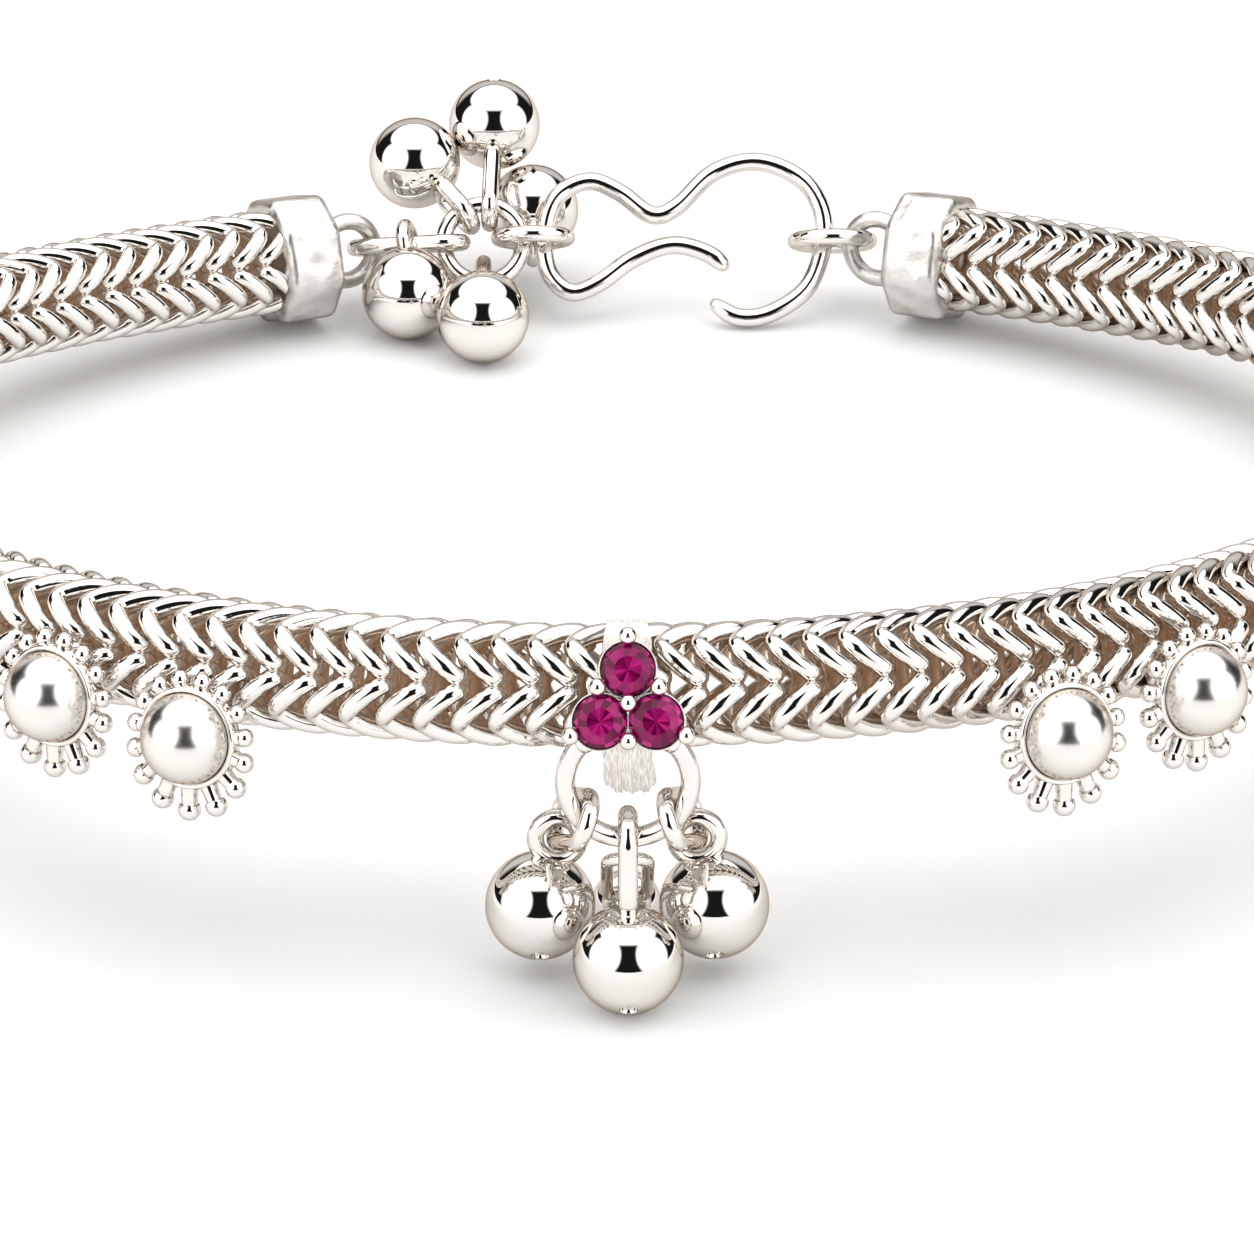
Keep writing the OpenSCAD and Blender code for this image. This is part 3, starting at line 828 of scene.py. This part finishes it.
def strap():
    """The square strap round the chain, brushed, and lower and narrower on top."""
    bm = bmesh.new()
    size = Matrix.Diagonal((STRAP_W, 2 * STRAP_OUT, 2 * STRAP_OUT, 1))
    cube = bmesh.ops.create_cube(bm, size=1, matrix=size)["verts"]
    edges = {edge for vert in cube for edge in vert.link_edges}
    rounded(bm, edges_along(edges, 0), STRAP_ROUNDING, 6)
    bmesh.ops.delete(bm, geom=[face for face in bm.faces if abs(face.normal.x) > 0.9], context="FACES_ONLY")
    bmesh.ops.recalc_face_normals(bm, faces=bm.faces[:])
    bmesh.ops.solidify(bm, geom=bm.faces[:], thickness=STRAP_WALL)
    bmesh.ops.recalc_face_normals(bm, faces=bm.faces[:])
    for vert in bm.verts:
        if vert.co.y > 0:
            vert.co.x *= 1 - STRAP_TOP_NARROWING * (vert.co.y / STRAP_OUT) ** 6
            vert.co.y *= STRAP_TOP / STRAP_OUT
    bmesh.ops.transform(bm, matrix=FACE, verts=bm.verts[:])
    place_piece("strap", bm, "brushed", crease=50)


def setting():
    """The three cups, the seven claw beads and the big ring with its solder."""
    bm = bmesh.new()
    top = PLATE_T + CUP_H
    outer = CUP_BORE_R + CUP_WALL
    rim = arc(CUP_WALL / 2, 0, 180, 6, (CUP_BORE_R + CUP_WALL / 2, top - CUP_WALL / 2))
    cup = [
        (0, -0.05), (CUP_BORE_R, -0.05), (CUP_BORE_R, 0.2), (outer, 0.38), *rim, (CUP_BORE_R, PLATE_T),
        (0, PLATE_T),
    ]
    for x, y in STONE_PLACES:
        spun(bm, cup, CLUSTER @ Matrix.Translation((x, y, 0)), 48)
    bead_centre = top + CLAW_RISE
    claw = [(0, 0), (CLAW_STEM_R, 0), *arc(CLAW_R, -53, 90, 16, (0, bead_centre))]
    claw[-1] = (0, bead_centre + CLAW_R)
    for x, y in CLAW_PLACES:
        spun(bm, claw, CLUSTER @ Matrix.Translation((x, y, 0)), 32)
    upright = framed(BIG_RING, X_AXIS, Z_AXIS)
    wire_ring(bm, upright, BIG_RING_R, BIG_RING_WIRE_R, 72, 20)
    for solder in (MIRROR_X @ SOLDER_PLACE, SOLDER_PLACE):
        seat = Matrix.Translation(BIG_RING + solder)
        bmesh.ops.create_uvsphere(bm, u_segments=24, v_segments=16, radius=SOLDER_R, matrix=seat)
    place_piece("setting", bm, "polished", ["setting"], crease=35)


def strap_tail():
    """The strap's free end behind the big ring, hammered out into a finely ribbed fan."""
    bm = bmesh.new()
    bmesh.ops.create_grid(bm, x_segments=40, y_segments=14, size=0.5)
    for vert in bm.verts:
        across, down = 2 * vert.co.x, 0.5 - vert.co.y
        ragged = 0.03 * math.sin(11 * across + 1) + 0.02 * math.sin(29 * across)
        reach = TAIL_LEN * (1 - 0.16 * across ** 4 + ragged) * down
        width = TAIL_W / 2 * (0.7 + 0.4 * math.sin(1.9 * down))
        ribs = 0.03 * down * math.cos(34 * across)
        vert.co = (across * width + 0.2 * down ** 2, -reach, ribs)
    bmesh.ops.solidify(bm, geom=bm.faces[:], thickness=TAIL_T)
    bmesh.ops.recalc_face_normals(bm, faces=bm.faces[:])
    root = FACE @ Matrix.Translation((-0.05, -2.4, 3.14)) @ Matrix.Rotation(math.radians(36), 4, "X")
    bmesh.ops.transform(bm, matrix=root, verts=bm.verts[:])
    place_piece("strap_tail", bm, "brushed", crease=60)


def stone(name, index):
    """A round brilliant. The table shows the star of facets under it as painted light and shade, in wedges
    of different brightness.
    """
    bm = bmesh.new()
    tone = bm.faces.layers.float.new("tone")
    rims = []
    for radius, height, sides, turn in STONE_RINGS:
        place = Matrix.Translation((0, 0, height)) @ Matrix.Rotation(math.radians(turn), 4, "Z")
        rim = bmesh.ops.create_circle(bm, segments=sides, radius=radius * STONE_R, matrix=place)["verts"]
        rims.append(list({edge for vert in rim for edge in vert.link_edges}))
    for upper, lower in zip(rims, rims[1:]):
        bmesh.ops.bridge_loops(bm, edges=upper + lower)
    bmesh.ops.holes_fill(bm, edges=rims[0] + rims[-1], sides=16)
    bmesh.ops.recalc_face_normals(bm, faces=bm.faces[:])
    table = max(bm.faces, key=lambda face: face.calc_center_median().z)
    bmesh.ops.poke(bm, faces=[table])
    chance = random.Random(index)
    # Painted light: each facet gets a brightness that stands for light and shade through the stone
    for face in bm.faces:
        centre = face.calc_center_median()
        reach = math.hypot(centre.x, centre.y) / STONE_R
        painted_levels = TABLE_PAINTED_LIGHT if reach < 0.5 else CROWN_PAINTED_LIGHT if reach < 0.75 else GIRDLE_PAINTED_LIGHT
        face[tone] = chance.choice(painted_levels)
    x, y = STONE_PLACES[index]
    seat = CLUSTER @ Matrix.Translation((x, y, PLATE_T + CUP_H + STONE_RISE))
    bmesh.ops.transform(bm, matrix=seat, verts=bm.verts[:])
    place_piece(name, bm, "ruby", [name], crease=1)


def side_link(name, side, eye_top):
    """The link between the big ring and a side ball's eye."""
    angle = math.radians(SIDE_LINK_ANGLE)
    hold = BIG_RING + BIG_RING_R * Vector((math.cos(angle), 0, -math.sin(angle)))
    near = BIG_RING_WIRE_R + SIDE_LINK_WIRE_R + 0.2
    far = BALL_EYE_WIRE_R + SIDE_LINK_WIRE_R + 0.16
    way = (eye_top - hold).normalized()
    length = (eye_top - hold).length + near + far
    flat = Vector((0.92, -0.1, 0.36))
    bm = bmesh.new()
    place = framed(hold + way * (length / 2 - near), way, flat.cross(way))
    straight_link(bm, place, length, SIDE_LINK_HALF_W, SIDE_LINK_WIRE_R)
    if side < 0:
        mirrored(bm)
    place_piece(name, bm, "polished", [name])


def make_front():
    setting()
    strap()
    strap_tail()
    for index, name in enumerate(("stone_top", "stone_left", "stone_right")):
        stone(name, index)
    ring_bottom = BIG_RING - Z_AXIS * BIG_RING_R
    ball_on_link(
        "ball_front", (0, FRONT_Y - 4.9, BALL_R), BALL_R, ring_bottom, X_AXIS, BALL_HOLE_UP,
        held_r=BIG_RING_WIRE_R,
    )
    ball_on_link(
        "ball_small", (0, FRONT_Y + 2.05, SMALL_BALL_R), SMALL_BALL_R, (0, FRONT_Y - 3.06, 6.35),
        X_AXIS.cross(Vector((0, 1, -0.8))), (0, 0.3, 0.95), wire_r=SMALL_BALL_WIRE_R, half_width=0.92,
        held_r=WIRE_R + 0.16,
    )
    side_ball = Vector((3.95, FRONT_Y - 1.2, 3.3))
    side_up = Vector((-0.24, 0.1, 0.966)).normalized()
    side_eye = side_ball + side_up * (BALL_R + 0.85)
    for side, word in ((-1, "left"), (1, "right")):
        ball_on_eye("ball_" + word, side_ball, side_eye, X_AXIS, BALL_HOLE_UP, side)
        side_link("side_link_" + word, side, side_eye + side_up)


# Flowers
def flower(name, index, side):
    """A dome in a rimmed collar, with bead-tipped petals that are longer towards the bottom."""
    s = FLOWER_LENGTHS[index]
    chain = chain_frame(s).to_3x3()
    centre = section_point(s, FLOWER_OUTS[index], -FLOWER_DOWNS[index])
    upright = framed(centre, chain @ Z_AXIS, chain @ X_AXIS)
    place = upright @ Matrix.Rotation(math.radians(FLOWER_LEAN), 4, "X")
    half_t = COLLAR_T / 2

    dome = bmesh.new()
    swell = arc(DOME_R, 0, 90, 24, (0, DOME_RAISE))[:-1]
    spun(dome, [(DOME_R, half_t), *swell, (0, DOME_RAISE + DOME_R)], place, 64)
    if side < 0:
        mirrored(dome)
    place_piece(name + "_dome", dome, "domed")

    bm = bmesh.new()
    rim = arc(COLLAR_RIM_R, 180, 0, 6, (DOME_R + 0.15, half_t + 0.1))
    collar = [
        (0, -half_t), (COLLAR_R - 0.08, -half_t), (COLLAR_R, -half_t + 0.08), (COLLAR_R, half_t - 0.05),
        *reversed(rim), (DOME_R - 0.02, half_t), (0, half_t),
    ]
    spun(bm, collar, place, 64)
    for k in range(PETAL_COUNT):
        turn = math.radians(-90 + 360 * k / PETAL_COUNT)
        low, high = max(0, -math.sin(turn)), max(0, math.sin(turn))
        length = PETAL_TIP + PETAL_TIP_LOW * low ** 1.5 - PETAL_TIP_HIGH * high - PETAL_ROOT
        bead_r = PETAL_BEAD_R * (1 + PETAL_BEAD_GROWTH * low)
        tip = arc(bead_r, -26, 90, 8, (0, length))
        tip[-1] = (0, length + bead_r)
        root = Matrix.Translation((PETAL_ROOT, 0, 0)) @ Matrix.Rotation(math.pi / 2, 4, "Y")
        stem = [(0, 0), (PETAL_ROOT_R, 0), (PETAL_R, length - 0.2)]
        spun(bm, stem + tip, place @ Matrix.Rotation(turn, 4, "Z") @ root, 20)
    if side < 0:
        mirrored(bm)
    place_piece(name, bm, "polished", [name])


def make_flowers():
    for side, word in ((-1, "left"), (1, "right")):
        flower(f"flower_{word}_inner", 0, side)
        flower(f"flower_{word}_outer", 1, side)


# The studio
def make_floor():
    material, nodes = new_material("pale_paper")
    nodes.finish(
        Base_Color=nodes.mix(nodes.noise(0.02), colour(0.8, 0.8, 0.8), colour(0.82, 0.82, 0.82)),
        Roughness=0.9,
        Specular_IOR_Level=0,
    )
    bm = bmesh.new()
    bmesh.ops.create_circle(bm, cap_ends=True, segments=64, radius=6)
    mesh = bpy.data.meshes.new("floor")
    bm.to_mesh(mesh)
    bm.free()
    mesh.materials.append(material)
    floor = bpy.data.objects.new("floor", mesh)
    bpy.context.scene.collection.objects.link(floor)


def make_lights():
    """A dark room with a broad softbox overhead, a round one at each side and a pale wall at the back."""
    world = bpy.data.worlds.new("studio")
    bpy.context.scene.world = world
    nodes = Nodes(world)
    way = nodes.add("ShaderNodeTexCoord", {}, {}, output="Generated")
    x, y, z = (nodes.add("ShaderNodeSeparateXYZ", {}, {0: way}, output=k) for k in range(3))
    height = z.larger(0.02)
    top = abs(x / height / 1.15).power(2.3) + abs((y / height - 0.27) / 0.93).power(2.3)
    top_box = 1 - top.between(0.65, 1.2)
    side_box = (abs(x) * 0.79 - y * 0.48 + z * 0.385).between(0.77, 0.85)
    wall = y.between(0.62, 0.8) * z.between(0.02, 0.2) * (1 - z.between(0.5, 0.75))
    boxes = (top_box * TOP_BOX_LIGHT).larger(side_box * SIDE_BOX_LIGHT)
    light = boxes.larger(wall * WALL_LIGHT).larger(ROOM_LIGHT)
    seen = nodes.add("ShaderNodeLightPath", {}, {}, output="Is Camera Ray")
    glow = nodes.add("ShaderNodeBackground", {}, {"Color": colour(1, 0.995, 0.985), "Strength": light})
    plain = nodes.add("ShaderNodeBackground", {}, {"Color": colour(1, 1, 1), "Strength": 1})
    both = nodes.add("ShaderNodeMixShader", {}, {0: seen, 1: glow, 2: plain})
    nodes.add("ShaderNodeOutputWorld", {}, {"Surface": both})


def make_camera():
    """The photo's view: from the front and above, a little to the side, through a long lens."""
    elevation = math.radians(CAMERA_ELEVATION)
    yaw = Matrix.Rotation(math.radians(CAMERA_YAW), 3, "Z")
    ahead = yaw @ Vector((0, math.cos(elevation), -math.sin(elevation)))
    up = yaw @ Vector((0, math.sin(elevation), math.cos(elevation)))
    target = Vector((0, FRONT_Y, CAMERA_TARGET_Z))
    data = bpy.data.cameras.new("camera")
    data.sensor_width = SENSOR_W
    data.lens = FOCAL_PX / PHOTO_PX * SENSOR_W
    data.clip_start = 0.01
    data.clip_end = 20
    camera = bpy.data.objects.new("camera", data)
    camera.location = (target - CAMERA_REACH * ahead + CAMERA_RISE * up) * MM
    camera.rotation_mode = "QUATERNION"
    camera.rotation_quaternion = Matrix((yaw @ X_AXIS, up, -ahead)).transposed().to_quaternion()
    bpy.context.scene.collection.objects.link(camera)
    bpy.context.scene.camera = camera


make_camera()
make_floor()
make_lights()
bpy.context.scene.view_settings.view_transform = "Standard"
bpy.context.scene.cycles.max_bounces = 6
bpy.context.scene.cycles.glossy_bounces = 5
make_chain()
make_clasp()
make_front()
make_flowers()
